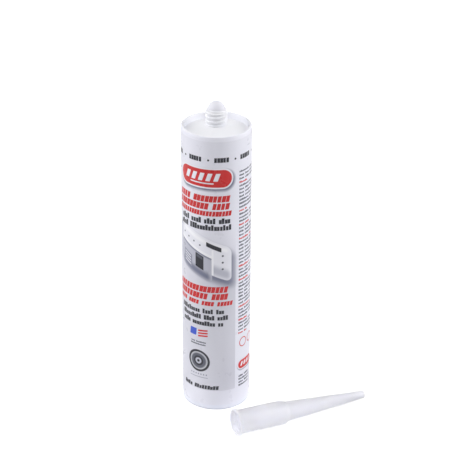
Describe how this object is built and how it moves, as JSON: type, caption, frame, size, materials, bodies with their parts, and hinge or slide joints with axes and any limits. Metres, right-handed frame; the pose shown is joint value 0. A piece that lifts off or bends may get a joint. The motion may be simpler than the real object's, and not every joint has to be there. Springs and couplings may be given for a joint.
{
  "type": "caulk tube",
  "caption": "Standing caulking cartridge with a sliding piston, a threaded sealed neck and its loose conical nozzle lying beside it.",
  "frame": {"origin": "centre of the cartridge's open rear end, on its axis, at the level that it stands on", "axes": "+Z along the cartridge's axis to its neck; the front of the print faces -Y; the nozzle lies to the front right"},
  "size_m": [0.1348, 0.0916, 0.2336],
  "materials": {
    "barrel": "smooth white polyethylene",
    "label": "glossy printed film",
    "sealant": "soft white paste",
    "piston": "satin white polyethylene",
    "nozzle": "translucent white polyethylene"
  },
  "bodies": {
    "cartridge": {"barrel": "barrel", "label": "label", "sealant": "sealant", "nozzle": "nozzle"},
    "plunger": {"piston": "piston"}
  },
  "joints": [
    {"name": "piston_slide", "type": "slide", "parent": "cartridge", "child": "plunger", "axis": [0, 0, 1], "range_m": [0, 0.168], "deforming": ["sealant"]}
  ]
}
